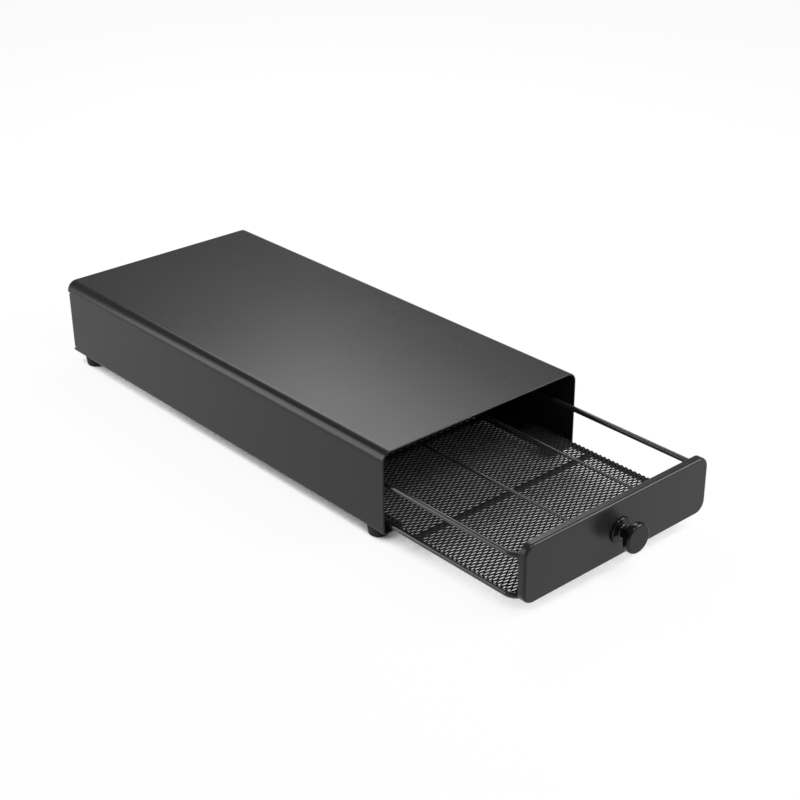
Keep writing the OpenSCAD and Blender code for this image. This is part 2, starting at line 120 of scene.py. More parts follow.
def add_node(
    tree: bpy.types.NodeTree, kind: str, inputs: dict[str | int, object] | None = None, **settings: object
) -> bpy.types.Node:
    """Adds one node with its settings, values and links.

    Args:
        tree: The node tree that takes it.
        kind: Blender's name for the kind of node.
        inputs: A value or an output socket for each input, by name or number.
        settings: Properties of the node itself.

    Returns:
        The new node.
    """
    made = tree.nodes.new(kind)
    for name, value in settings.items():
        setattr(made, name, value)
    for name, value in (inputs or {}).items():
        if isinstance(value, bpy.types.NodeSocket):
            tree.links.new(value, made.inputs[name])
        else:
            made.inputs[name].default_value = value
    return made


def new_material(name: str) -> bpy.types.Material:
    """Makes a material with an empty node tree.

    Args:
        name: Its name.

    Returns:
        The material.
    """
    material = bpy.data.materials.new(name)
    material.use_nodes = True
    material.node_tree.nodes.clear()
    return material


@dataclass(frozen=True)
class Finish:
    """A surface with a fine grain, a slow drift in gloss and a faint mottle.

    The grain and the patches are sizes in millimetres. Grain that is too fine to show is drawn two to three
    times as coarse as the real one. Its height is how far it stands up.
    """

    name: str
    colour: str
    mottle: str
    roughness: float
    drift: float = 0.03
    specular: float = 0.5
    grain_mm: float = 0.6
    grain_height_mm: float = 0.01
    grain_detail: float = 2.0
    patch_mm: float = 45.0
    patch_detail: float = 3.0
    patch_low: float = 0.2
    patch_high: float = 0.8
    metallic: float = 0.0
    coat: float = 0.0
    coat_roughness: float = 0.1

    def material(self) -> bpy.types.Material:
        """Builds the finish's node tree.

        Returns:
            The material, named after the real finish.
        """
        material = new_material(self.name)
        tree = material.node_tree
        where = add_node(tree, "ShaderNodeTexCoord").outputs["Object"]
        patches = add_node(
            tree,
            "ShaderNodeTexNoise",
            {"Vector": where, "Scale": 1 / (self.patch_mm * MM), "Detail": self.patch_detail},
        )
        gloss = add_node(
            tree,
            "ShaderNodeMapRange",
            {
                "Value": patches.outputs["Fac"],
                "From Min": self.patch_low,
                "From Max": self.patch_high,
                "To Min": self.roughness - self.drift,
                "To Max": self.roughness + self.drift,
            },
        )
        grain = add_node(
            tree,
            "ShaderNodeTexNoise",
            {"Vector": where, "Scale": 1 / (self.grain_mm * MM), "Detail": self.grain_detail},
        )
        tint = add_node(
            tree,
            "ShaderNodeMix",
            {0: grain.outputs["Fac"], 6: linear(self.colour), 7: linear(self.mottle)},
            data_type="RGBA",
        )
        bump = add_node(
            tree, "ShaderNodeBump", {"Height": grain.outputs["Fac"], "Distance": self.grain_height_mm * MM}
        )
        shader = add_node(
            tree,
            "ShaderNodeBsdfPrincipled",
            {
                "Base Color": tint.outputs[2],
                "Roughness": gloss.outputs["Result"],
                "Metallic": self.metallic,
                "Specular IOR Level": self.specular,
                "Coat Weight": self.coat,
                "Coat Roughness": self.coat_roughness,
                "Normal": bump.outputs["Normal"],
            },
        )
        add_node(tree, "ShaderNodeOutputMaterial", {"Surface": shader.outputs["BSDF"]})
        return material


# Polyester powder, baked on steel sheet: deep black, satin, with a sandy grain that spreads each reflection.
# The real grain is about 0.2 mm and too fine to show, so it is drawn at three times that.
POWDER_COAT = Finish(
    "satin_black_powder_coat", "#1b1b1c", "#222223", roughness=0.28, drift=0.015, specular=0.25
)

# The same powder on drawn wire, where it flows a little and mirrors more strongly.
WIRE_COAT = Finish(
    "black_powder_coat_on_wire", "#1e1e1f", "#262627", roughness=0.32, grain_mm=0.5, patch_mm=20.0
)

# Powder on expanded steel: it pulls back from the cut edges of the strands and comes out thin and dark.
MESH_COAT = Finish(
    "black_powder_coat_on_expanded_steel", "#111112", "#18181a", roughness=0.4, specular=0.15, grain_mm=0.4
)

# Sprayed acrylic lacquer on turned steel: almost black, with a clear gloss coat on top.
LACQUER = Finish(
    "gloss_black_lacquer",
    "#0c0c0d",
    "#101011",
    roughness=0.3,
    specular=0.0,
    grain_mm=1.5,
    grain_height_mm=0.002,
    coat=0.56,
    coat_roughness=0.08,
)

# Moulded rubber: dead matt, slightly grey where it has been handled.
RUBBER = Finish(
    "black_moulded_rubber", "#141414", "#1c1c1c", roughness=0.72, drift=0.06, specular=0.3, grain_mm=0.8
)

# Moulded nylon: black with a waxy sheen.
NYLON = Finish("black_moulded_nylon", "#161616", "#1b1b1b", roughness=0.48, specular=0.4, grain_mm=1.0)

# Bright zinc on steel screws: grey metal with a fine grain from the plating.
ZINC = Finish(
    "bright_zinc_plate",
    "#b9bcc0",
    "#a5a8ad",
    roughness=0.3,
    drift=0.06,
    grain_mm=0.4,
    patch_mm=4.0,
    metallic=1.0,
)

FINISHES = {
    Slot.COAT: POWDER_COAT,
    Slot.WIRE: WIRE_COAT,
    Slot.MESH: MESH_COAT,
    Slot.LACQUER: LACQUER,
    Slot.RUBBER: RUBBER,
    Slot.NYLON: NYLON,
    Slot.ZINC: ZINC,
}


# ---- Modelling ----


def only(piece: Piece) -> None:
    """Selects one piece, makes it active and leaves the rest unselected.

    Args:
        piece: The piece to select.
    """
    bpy.ops.object.select_all(action="DESELECT")
    piece.select_set(True)
    bpy.context.view_layer.objects.active = piece


@contextmanager
def editing(piece: Piece) -> Iterator[Callable[[], bmesh.types.BMesh]]:
    """Opens a piece in edit mode.

    Args:
        piece: The piece to open.

    Yields:
        A function that returns its mesh as it is at that moment.
    """
    only(piece)
    bpy.ops.object.mode_set(mode="EDIT")
    yield lambda: bmesh.from_edit_mesh(piece.data)
    bpy.ops.object.mode_set(mode="OBJECT")


def pick_faces(mesh: bmesh.types.BMesh, test: Callable[[bmesh.types.BMFace], bool]) -> None:
    """Selects the faces that pass a test and nothing else.

    Args:
        mesh: The mesh in edit mode.
        test: Says whether a face is wanted.
    """
    bpy.ops.mesh.select_mode(type="FACE")
    bpy.ops.mesh.select_all(action="DESELECT")
    mesh.normal_update()
    for face in mesh.faces:
        if test(face):
            face.select_set(True)


def pick_edges(mesh: bmesh.types.BMesh, test: Callable[[bmesh.types.BMEdge], bool]) -> None:
    """Selects the edges that pass a test and nothing else.

    Args:
        mesh: The mesh in edit mode.
        test: Says whether an edge is wanted.
    """
    bpy.ops.mesh.select_mode(type="EDGE")
    bpy.ops.mesh.select_all(action="DESELECT")
    for edge in mesh.edges:
        if test(edge):
            edge.select_set(True)


def pick_points(mesh: bmesh.types.BMesh, test: Callable[[Vector], bool]) -> None:
    """Selects the vertices whose places pass a test and nothing else.

    Args:
        mesh: The mesh in edit mode.
        test: Says whether a place is wanted.
    """
    bpy.ops.mesh.select_mode(type="VERT")
    bpy.ops.mesh.select_all(action="DESELECT")
    for point in mesh.verts:
        if test(point.co):
            point.select_set(True)
    mesh.select_flush_mode()


def middle(edge: bmesh.types.BMEdge) -> Vector:
    """Gives the middle of an edge."""
    return (edge.verts[0].co + edge.verts[1].co) / 2


def runs_along(edge: bmesh.types.BMEdge, axis: int) -> bool:
    """Tells whether an edge is parallel to an axis."""
    span = edge.verts[1].co - edge.verts[0].co
    return abs(span[axis]) > PARALLEL * span.length


def near(a: float, b: float) -> bool:
    """Tells whether two coordinates count as the same."""
    return abs(a - b) < SAME


def apply(piece: Piece, kind: str, **settings: object) -> None:
    """Adds a modifier to a piece and applies it.

    Args:
        piece: The piece that takes it.
        kind: Blender's name for the kind of modifier.
        settings: The modifier's properties.
    """
    only(piece)
    modifier = piece.modifiers.new(kind.lower(), kind)
    for name, value in settings.items():
        setattr(modifier, name, value)
    bpy.ops.object.modifier_apply(modifier=modifier.name)


def settle(piece: Piece) -> None:
    """Puts a piece's place, turn and scale into its mesh."""
    only(piece)
    bpy.ops.object.transform_apply(location=True, rotation=True, scale=True)


def named(piece: Piece, name: str) -> Piece:
    """Names a piece and its mesh alike.

    Args:
        piece: The piece to name.
        name: Its new name.

    Returns:
        The same piece.
    """
    piece.name = name
    piece.data.name = name
    return piece


def block(name: str, low: Vector, high: Vector) -> Piece:
    """Adds a box between two corners.

    Args:
        name: Its name.
        low: Its lowest corner.
        high: Its highest corner.

    Returns:
        The box, with its place in its mesh.
    """
    bpy.ops.object.select_all(action="DESELECT")
    bpy.ops.mesh.primitive_cube_add(size=1, location=(low + high) / 2)
    made = named(bpy.context.object, name)
    made.scale = high - low
    settle(made)
    return made


def rectangle(name: str, low: Vector, high: Vector) -> Piece:
    """Adds a flat rectangle, lying or standing across Y.

    Args:
        name: Its name.
        low: Its lowest corner.
        high: Its highest corner.

    Returns:
        The rectangle, with its place in its mesh.
    """
    span = high - low
    stands = span.z > span.y
    turn = math.pi / 2 if stands else 0
    bpy.ops.object.select_all(action="DESELECT")
    bpy.ops.mesh.primitive_plane_add(size=1, location=(low + high) / 2, rotation=(turn, 0, 0))
    made = named(bpy.context.object, name)
    made.scale = (span.x, span.z if stands else span.y, 1)
    settle(made)
    return made


def point_outwards(piece: Piece) -> None:
    """Merges doubles and turns every face of a closed piece outwards.

    Args:
        piece: The closed piece.
    """
    with editing(piece):
        bpy.ops.mesh.select_all(action="SELECT")
        bpy.ops.mesh.remove_doubles(threshold=MERGE)
        bpy.ops.mesh.normals_make_consistent(inside=False)


def shade(piece: Piece, angle: float = SHARP) -> None:
    """Shades a piece smooth, with sharp edges and with flat faces that look flat.

    Args:
        piece: The finished mesh.
        angle: The least angle in degrees that stays sharp.
    """
    only(piece)
    bpy.ops.object.shade_smooth_by_angle(angle=math.radians(angle))
    apply(piece, "WEIGHTED_NORMAL", mode="FACE_AREA", keep_sharp=True)


def soften(piece: Piece, width: float, segments: int = 3) -> None:
    """Rounds a piece's sharp edges and shades it.

    Args:
        piece: The closed piece.
        width: Width of the rounding.
        segments: Faces across it.
    """
    apply(
        piece,
        "BEVEL",
        width=width,
        segments=segments,
        limit_method="ANGLE",
        angle_limit=math.radians(SHARP),
        use_clamp_overlap=False,
    )
    shade(piece)


def arc(centre: tuple[float, float], radius: float, start: float, end: float, steps: int) -> Rings:
    """Lists points along an arc of a turned profile.

    Args:
        centre: Its centre, as distance from the axis and height.
        radius: Its radius.
        start: First angle in degrees, from the outward direction towards the height.
        end: Last angle in degrees.
        steps: Number of stretches.

    Returns:
        The points, both ends included.
    """
    angles = (math.radians(start + (end - start) * i / steps) for i in range(steps + 1))
    return [(centre[0] + radius * math.cos(a), centre[1] + radius * math.sin(a)) for a in angles]


def turned(name: str, rings: Rings, base: Vector, along: Vector, sides: int = 96) -> Piece:
    """Turns a closed round piece from a profile, ring after ring.

    Args:
        name: Its name.
        rings: Distance from the axis and height of each ring. A piece with a through hole ends on its first.
        base: Where the axis starts.
        along: Direction of the axis.
        sides: Faces round it.

    Returns:
        The piece, with its open ends filled.
    """
    bpy.ops.object.select_all(action="DESELECT")
    radius, height = rings[0]
    bpy.ops.mesh.primitive_circle_add(vertices=sides, radius=radius, location=(0, 0, height))
    made = named(bpy.context.object, name)
    settle(made)
    with editing(made):
        bpy.ops.mesh.select_all(action="SELECT")
        for next_radius, next_height in rings[1:]:
            rise = next_height - height
            bpy.ops.mesh.extrude_edges_move(TRANSFORM_OT_translate={"value": (0, 0, rise)})
            share = next_radius / radius
            bpy.ops.transform.resize(value=(share, share, 1), center_override=(0, 0, next_height))
            radius, height = next_radius, next_height
        bpy.ops.mesh.select_all(action="SELECT")
        bpy.ops.mesh.remove_doubles(threshold=MERGE)
        bpy.ops.mesh.fill_holes(sides=0)
    made.matrix_world = Matrix.Translation(base) @ along.to_track_quat("Z", "Y").to_matrix().to_4x4()
    settle(made)
    point_outwards(made)
    shade(made, SHARP_TURNED)
    return made


def as_wire(piece: Piece, diameter: float, capped: bool = False, resolution: int = 6) -> None:
    """Turns a chain of edges to a round wire.

    Args:
        piece: The chain.
        diameter: The wire's diameter.
        capped: Whether its ends are closed.
        resolution: Half the number of sides that its section has beyond four.
    """
    name = piece.name
    only(piece)
    bpy.ops.object.convert(target="CURVE")
    curve = piece.data
    curve.dimensions = "3D"
    curve.bevel_depth = diameter / 2
    curve.bevel_resolution = resolution
    curve.use_fill_caps = capped
    bpy.ops.object.convert(target="MESH")
    named(piece, name)
    point_outwards(piece)
    shade(piece, SHARP_WIRE)


def rod(name: str, start: Vector, end: Vector, diameter: float, sides: int = 24) -> Piece:
    """Makes a straight wire whose ends are softened by a tenth of its diameter.

    Args:
        name: Its name.
        start: Where its axis starts.
        end: Where its axis ends.
        diameter: Its diameter.
        sides: Faces round it.

    Returns:
        The wire.
    """
    r, soft = diameter / 2, diameter / 10
    length = (end - start).length
    rings = [(r - soft, 0.0), (r, soft), (r, length - soft), (r - soft, length)]
    return turned(name, rings, start, end - start, sides)


def weld(at: Vector, size: HalfLengths, subdivisions: int = 3) -> Piece:
    """Makes the rounded bead of one weld.

    Args:
        at: Its centre.
        size: Its half-lengths along X, Y and Z.
        subdivisions: Level of division, where one is a plain icosahedron.

    Returns:
        The bead.
    """
    bpy.ops.object.select_all(action="DESELECT")
    bpy.ops.mesh.primitive_ico_sphere_add(subdivisions=subdivisions, radius=1, location=at)
    made = named(bpy.context.object, "weld")
    made.scale = size
    settle(made)
    bpy.ops.object.shade_smooth()
    return made


def joined(name: str, pieces: list[Piece]) -> Piece:
    """Joins several pieces to one.

    Args:
        name: The name of the result.
        pieces: What to join.

    Returns:
        The joined piece.
    """
    bpy.ops.object.select_all(action="DESELECT")
    for piece in pieces:
        piece.select_set(True)
    bpy.context.view_layer.objects.active = pieces[0]
    if len(pieces) > 1:
        bpy.ops.object.join()
    return named(pieces[0], name)


@dataclass
class Workshop:
    """Dresses pieces and CAD nodes and reports them.

    A softened node's edges are rounded by `node_soft`, after faces within `flat_angle` degrees are made one.
    """

    nodes: dict[str, Piece]
    materials: dict[Slot, bpy.types.Material]
    node_soft: float = 0.25 * MM
    flat_angle: float = 0.5

    def dress(self, piece: Piece, body: Body, slot: Slot, *nodes: str) -> None:
        """Gives a new piece its finish, its body and the nodes that it stands for.

        Args:
            piece: The finished piece.
            body: The body that it moves with.
            slot: Its material slot.
            nodes: The CAD nodes that it replaces.
        """
        piece.data.materials.clear()
        piece.data.materials.append(self.materials[slot])
        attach(piece, body.value)
        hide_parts(*nodes)
        log.info("%s: %d faces, %s", piece.name, len(piece.data.polygons), self.materials[slot].name)

    def dress_node(self, name: str, slot: Slot) -> None:
        """Gives a CAD node that stays its finish.

        Args:
            name: The CAD node's name.
            slot: Its material slot.
        """
        for place in self.nodes[name].material_slots:
            place.material = self.materials[slot]
        log.info("%s: CAD node, %s", name, self.materials[slot].name)

    def soften_node(self, node: str, name: str, body: Body, slot: Slot) -> None:
        """Replaces a CAD node by a copy whose edges are rounded as coat or mould rounds them.

        Args:
            node: The CAD node's name.
            name: The new piece's name.
            body: The body that it moves with.
            slot: Its material slot.
        """
        only(self.nodes[node])
        bpy.ops.object.duplicate()
        piece = named(bpy.context.object, name)
        del piece["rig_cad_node"]
        piece.parent = None
        only(piece)
        bpy.ops.mesh.customdata_custom_splitnormals_clear()
        with editing(piece):
            bpy.ops.mesh.select_all(action="SELECT")
            bpy.ops.mesh.remove_doubles(threshold=MERGE)
            bpy.ops.mesh.dissolve_limited(angle_limit=math.radians(self.flat_angle))
        soften(piece, self.node_soft)
        self.dress(piece, body, slot, node)


# ---- Casing ----


@dataclass
class Casing:
    """One folded sheet with its back panel, runners, stops, buffers and screws."""

    workshop: Workshop
    sheet: float = 1.2 * MM
    top_bend: float = 7.5 * MM
    top_bend_steps: int = 14
    edge_bend: float = 2.0 * MM
    edge_bend_steps: int = 6
    flange: float = 18.0 * MM
    chamfer: float = 3.0 * MM
    tab: float = 14.0 * MM
    relief: float = 2.0 * MM
    slit: float = 1.0 * MM
    slit_run: float = 0.8 * MM
    edge_soft: float = 0.55 * MM

    def build(self) -> None:
        """Folds the sheet and dresses what is fixed in it."""
        low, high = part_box("casing_shell")
        piece = block("folded_casing", low, high)
        self._fold_long_bends(piece, low, high)
        self._open_ends(piece, low, high)
        self._fold_rear_tabs(piece, low, high)
        self._face_outwards(piece)
        apply(piece, "SOLIDIFY", thickness=self.sheet, offset=-1.0, use_even_offset=True)
        soften(piece, self.edge_soft)
        self.workshop.dress(piece, Body.CASING, Slot.COAT, "casing_shell")
        self.workshop.soften_node("back_panel", "flat_back", Body.CASING, Slot.COAT)
        self.workshop.dress_node("back_screws", Slot.ZINC)
        for side in ("left", "right"):
            self.workshop.soften_node(f"stop_{side}", f"drawer_stop_{side}", Body.CASING, Slot.COAT)
            self.workshop.soften_node(f"runner_{side}", f"nylon_runner_{side}", Body.CASING, Slot.NYLON)
            self.workshop.dress_node(f"buffer_{side}", Slot.RUBBER)

    def _fold_long_bends(self, piece: Piece, low: Vector, high: Vector) -> None:
        """Rounds the two upper and the two lower long edges.

        Args:
            piece: The block that becomes the casing.
            low: Its lowest corner.
            high: Its highest corner.
        """
        with editing(piece) as mesh:
            pick_edges(mesh(), lambda e: runs_along(e, 1) and near(middle(e).z, high.z))
            bpy.ops.mesh.bevel(offset=self.top_bend, segments=self.top_bend_steps)
            pick_edges(mesh(), lambda e: runs_along(e, 1) and near(middle(e).z, low.z))
            bpy.ops.mesh.bevel(offset=self.edge_bend, segments=self.edge_bend_steps)

    def _open_ends(self, piece: Piece, low: Vector, high: Vector) -> None:
        """Opens the front, the back and the gap between the flanges, and cuts the flanges' front corners.

        Args:
            piece: The block that becomes the casing.
            low: Its lowest corner.
            high: Its highest corner.
        """
        reach = high.x - self.flange
        with editing(piece) as mesh:
            pick_faces(mesh(), lambda f: abs(f.normal.y) > PARALLEL)
            bpy.ops.mesh.delete(type="ONLY_FACE")
            for side in (-1, 1):
                pick_faces(mesh(), lambda f: f.normal.z < -PARALLEL)
                bpy.ops.mesh.bisect(plane_co=(side * reach, 0, low.z), plane_no=X)
            pick_faces(
                mesh(), lambda f: f.normal.z < -PARALLEL and abs(f.calc_center_median().x) < reach - MM
            )
            bpy.ops.mesh.delete(type="FACE")
            pick_points(mesh(), lambda p: near(abs(p.x), reach) and near(p.y, low.y))
            bpy.ops.mesh.bevel(offset=self.chamfer, affect="VERTICES", segments=1)

    def _fold_rear_tabs(self, piece: Piece, low: Vector, high: Vector) -> None:
        """Cuts the reliefs at the back and spins a tab inwards on each side.

        Args:
            piece: The open sheet.
            low: Its lowest corner.
            high: Its highest corner.
        """
        fold_y = high.y - self.edge_bend
        foot, head = low.z + self.edge_bend + self.relief, high.z - self.top_bend - self.relief
        with editing(piece) as mesh:
            for z in (foot - self.slit, foot, head, head + self.slit):
                pick_faces(mesh(), lambda f: abs(f.normal.x) > PARALLEL)
                bpy.ops.mesh.bisect(plane_co=(0, 0, z), plane_no=Z)
            for y in (fold_y - self.slit_run, fold_y):
                pick_faces(mesh(), lambda f: abs(f.normal.x) > PARALLEL)
                bpy.ops.mesh.bisect(plane_co=(0, y, 0), plane_no=Y)
            for bottom, top, start in (
                (foot - self.slit, foot, fold_y - self.slit_run),
                (foot, head, fold_y),
                (head, head + self.slit, fold_y - self.slit_run),
            ):
                pick_faces(
                    mesh(),
                    lambda f: abs(f.normal.x) > PARALLEL
                    and f.calc_center_median().y > start
                    and bottom < f.calc_center_median().z < top,
                )
                bpy.ops.mesh.delete(type="FACE")
            for side in (-1, 1):
                pick_edges(
                    mesh(),
                    lambda e: runs_along(e, 2)
                    and near(middle(e).x, side * high.x)
                    and near(middle(e).y, fold_y)
                    and foot < middle(e).z < head,
                )
                bend_centre = (side * (high.x - self.edge_bend), fold_y, 0)
                turn = -side * math.pi / 2
                bpy.ops.mesh.spin(steps=self.edge_bend_steps, angle=turn, center=bend_centre, axis=Z)
                run = -side * (self.tab - self.edge_bend)
                bpy.ops.mesh.extrude_edges_move(TRANSFORM_OT_translate={"value": (run, 0, 0)})
            bpy.ops.mesh.select_all(action="SELECT")
            bpy.ops.mesh.remove_doubles(threshold=SAME)

    def _face_outwards(self, piece: Piece) -> None:
        """Turns the open sheet's faces outwards, judged by its top.

        Args:
            piece: The folded sheet, before it gets its thickness.
        """
        with editing(piece) as mesh:
            bpy.ops.mesh.select_all(action="SELECT")
            bpy.ops.mesh.normals_make_consistent(inside=False)
            top = max(mesh().faces, key=lambda f: f.calc_center_median().z)
            if top.normal.z < 0:
                bpy.ops.mesh.flip_normals()


@dataclass
class Feet:
    """Four push-in feet: tapered body, rounded sole with a gate dimple, neck and head."""

    workshop: Workshop
    sides: int = 64
    height: float = 7.0 * MM
    top_r: float = 7.5 * MM
    base_r: float = 6.8 * MM
    edge_r: float = 1.3 * MM
    edge_steps: int = 8
    brim_r: float = 0.3 * MM
    brim_steps: int = 4
    neck_r: float = 2.0 * MM
    head_r: float = 3.0 * MM
    head_h: float = 0.9 * MM
    sheet: float = 1.2 * MM
    dimple_r: float = 1.1 * MM
    dimple_floor_r: float = 0.66 * MM
    dimple_h: float = 0.3 * MM

    def rings(self) -> Rings:
        """Lists the foot's profile, from the dimple in its sole up to its head.

        Returns:
            Distance from the axis and height of each ring.
        """
        shoulder = self.height + self.sheet
        brim = (self.top_r - self.brim_r, self.height - self.brim_r)
        return [
            (self.dimple_floor_r, self.dimple_h),
            (self.dimple_r, 0.0),
            *arc((self.base_r - self.edge_r, self.edge_r), self.edge_r, -90, 0, self.edge_steps),
            *arc(brim, self.brim_r, 0, 90, self.brim_steps),
            (self.neck_r, self.height),
            (self.neck_r, shoulder),
            (self.head_r, shoulder),
            (self.head_r, shoulder + self.head_h),
        ]

    def build(self) -> None:
        """Turns a foot at the place of each of the four nodes."""
        for row in ("front", "rear"):
            for side in ("left", "right"):
                low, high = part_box(f"foot_{row}_{side}")
                base = Vector(((low.x + high.x) / 2, (low.y + high.y) / 2, low.z))
                piece = turned(f"rubber_foot_{row}_{side}", self.rings(), base, Z, self.sides)
                self.workshop.dress(piece, Body.CASING, Slot.RUBBER, f"foot_{row}_{side}")


# ---- Drawer front ----


@dataclass
class Front:
    """The pressed panel with its brackets, rose, knob, screw and washer.

    The knob's face has one more ring, at a share of its radius.
    """

    workshop: Workshop
    sheet: float = 1.0 * MM
    corner_r: float = 8.0 * MM
    corner_steps: int = 12
    edge_r: float = 1.7 * MM
    edge_steps: int = 8
    rim_soft: float = 0.2 * MM
    bore_r: float = 2.1 * MM
    bore_l: float = 9.0 * MM
    neck_r: float = 3.8 * MM
    fillet_r: float = 1.6 * MM
    fillet_steps: int = 8
    cap_front_r: float = 1.5 * MM
    cap_back_r: float = 2.0 * MM
    cap_t: float = 5.4 * MM
    cap_face_ring: float = 0.5
    rose_edge_r: float = 1.1 * MM
    round_steps: int = 10

    def build(self) -> None:
        """Makes the panel, the rose and the knob and dresses the rest."""
        self._panel()
        self._rose()
        self._knob()
        self.workshop.dress_node("knob_screw", Slot.ZINC)
        self.workshop.dress_node("knob_washer", Slot.ZINC)
        for side in ("left", "right"):
            self.workshop.soften_node(f"bracket_{side}", f"front_bracket_{side}", Body.DRAWER, Slot.COAT)

    def _panel(self) -> None:
        """Presses the pan: rounded corners, rounded face edge and a return all round."""
        low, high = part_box("front_panel")
        piece = block("pressed_front", low, high)
        with editing(piece) as mesh:
            pick_edges(mesh(), lambda e: runs_along(e, 1))
            bpy.ops.mesh.bevel(offset=self.corner_r, segments=self.corner_steps)
            pick_edges(mesh(), lambda e: near(e.verts[0].co.y, low.y) and near(e.verts[1].co.y, low.y))
            bpy.ops.mesh.bevel(offset=self.edge_r, segments=self.edge_steps)
            pick_faces(mesh(), lambda f: f.normal.y > PARALLEL)
            bpy.ops.mesh.delete(type="ONLY_FACE")
        apply(piece, "SOLIDIFY", thickness=self.sheet, offset=-1.0, use_even_offset=True)
        soften(piece, self.rim_soft)
        self.workshop.dress(piece, Body.DRAWER, Slot.COAT, "front_panel")

    def _rose(self) -> None:
        """Turns the rose, with a rounded edge and its bore."""
        low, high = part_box("knob_rose")
        r, t = (high.x - low.x) / 2, high.y - low.y
        rim = arc((r - self.rose_edge_r, t - self.rose_edge_r), self.rose_edge_r, 0, 90, self.round_steps)
        rings = [(self.bore_r, 0.0), (r, 0.0), *rim, (self.bore_r, t), (self.bore_r, 0.0)]
        piece = turned("turned_rose", rings, Vector((0, high.y, (low.z + high.z) / 2)), -Y)
        self.workshop.dress(piece, Body.DRAWER, Slot.LACQUER, "knob_rose")

    def _knob(self) -> None:
        """Turns the knob: blind bore, filleted neck and rounded cap."""
        low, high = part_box("knob")
        r, reach = (high.x - low.x) / 2, high.y - low.y
        neck_end = reach - self.cap_t
        inner = self.neck_r + self.fillet_r
        cap_back = (r - self.cap_back_r, neck_end + self.cap_back_r)
        cap_front = (r - self.cap_front_r, reach - self.cap_front_r)
        rings = [
            (self.bore_r, self.bore_l),
            (self.bore_r, 0.0),
            (inner, 0.0),
            *arc((inner, self.fillet_r), self.fillet_r, 270, 180, self.fillet_steps),
            *arc((inner, neck_end - self.fillet_r), self.fillet_r, 180, 90, self.fillet_steps),
            *arc(cap_back, self.cap_back_r, -90, 0, self.round_steps),
            *arc(cap_front, self.cap_front_r, 0, 90, self.round_steps),
            (r * self.cap_face_ring, reach),
        ]
        piece = turned("turned_knob", rings, Vector((0, high.y, (low.z + high.z) / 2)), -Y)
        self.workshop.dress(piece, Body.DRAWER, Slot.LACQUER, "knob")


# ---- Drawer basket ----


